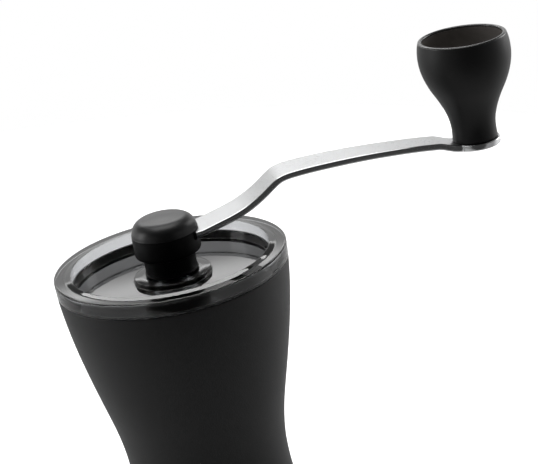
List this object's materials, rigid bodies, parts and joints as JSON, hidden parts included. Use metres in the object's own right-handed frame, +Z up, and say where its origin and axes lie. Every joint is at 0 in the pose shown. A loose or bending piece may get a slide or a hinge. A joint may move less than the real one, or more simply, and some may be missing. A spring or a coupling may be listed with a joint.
{
  "type": "manual coffee grinder",
  "caption": "Slim hand-cranked coffee mill with a waisted body over a grounds jar, a clear lid, conical burrs on a shaft, and a lift-off crank with a cup-shaped knob.",
  "frame": {"origin": "middle of the jar's flat underside, on the shaft's axis", "axes": "+Z up along the shaft's axis, +X along the crank arm from the shaft to the knob"},
  "size_m": [0.1501, 0.072, 0.2198],
  "materials": {
    "smoked_plastic": "smoked clear, gloss",
    "body_plastic": "fine matte grain",
    "black_plastic": "satin",
    "knob_plastic": "matte",
    "bush_plastic": "smooth",
    "ceramic": "ground white ceramic, opaque",
    "shaft_steel": "turned",
    "arm_steel": "fine brushed",
    "brass": "turned"
  },
  "bodies": {
    "jar": {"jar": "smoked_plastic"},
    "body": {"mill_body": "body_plastic", "shaft_bush": "bush_plastic", "outer_burr": "ceramic", "burr_holder": "black_plastic"},
    "lid": {"lid": "smoked_plastic"},
    "drive": {"drive_shaft": "shaft_steel", "thrust_washer": "shaft_steel", "upper_spring_washer": "shaft_steel", "burr_spring": "shaft_steel"},
    "burr": {"inner_burr": "ceramic", "burr_carrier": "black_plastic", "lower_spring_washer": "shaft_steel"},
    "nut": {"adjusting_nut": "black_plastic", "nut_insert": "brass"},
    "crank": {"crank_hub": "black_plastic", "hub_cap": "black_plastic", "hub_screws": "shaft_steel", "crank_arm": "arm_steel", "knob_washer": "shaft_steel", "knob_pin": "shaft_steel"},
    "knob": {"knob": "knob_plastic"}
  },
  "joints": [
    {"name": "body_lift", "type": "slide", "parent": "jar", "child": "body", "axis": [0, 0, 1], "range_m": [0, 0.06]},
    {"name": "lid_lift", "type": "slide", "parent": "body", "child": "lid", "axis": [0, 0, 1], "range_m": [0, 0.04]},
    {"name": "crank_turn", "type": "hinge", "parent": "body", "child": "drive", "pos_m": [0, 0, 0.14], "axis": [0, 0, 1], "continuous": true},
    {"name": "burr_gap", "type": "slide", "parent": "drive", "child": "burr", "axis": [0, 0, 1], "range_m": [-0.0015, 0], "deforming": ["burr_spring"]},
    {"name": "grind_adjust", "type": "hinge", "parent": "burr", "child": "nut", "pos_m": [0, 0, 0.1022], "axis": [0, 0, 1], "range_deg": [-540, 0]},
    {"name": "crank_lift", "type": "slide", "parent": "drive", "child": "crank", "axis": [0, 0, 1], "range_m": [0, 0.08]},
    {"name": "knob_spin", "type": "hinge", "parent": "crank", "child": "knob", "pos_m": [0.0998, 0, 0.19], "axis": [0, 0, 1], "continuous": true}
  ],
  "couplings": [
    {"joint": "grind_adjust", "follows": "burr_gap", "rad_per_m": 6283.2},
    {"joint": "lid_lift", "follows": "crank_lift", "ratio": 0.5}
  ]
}
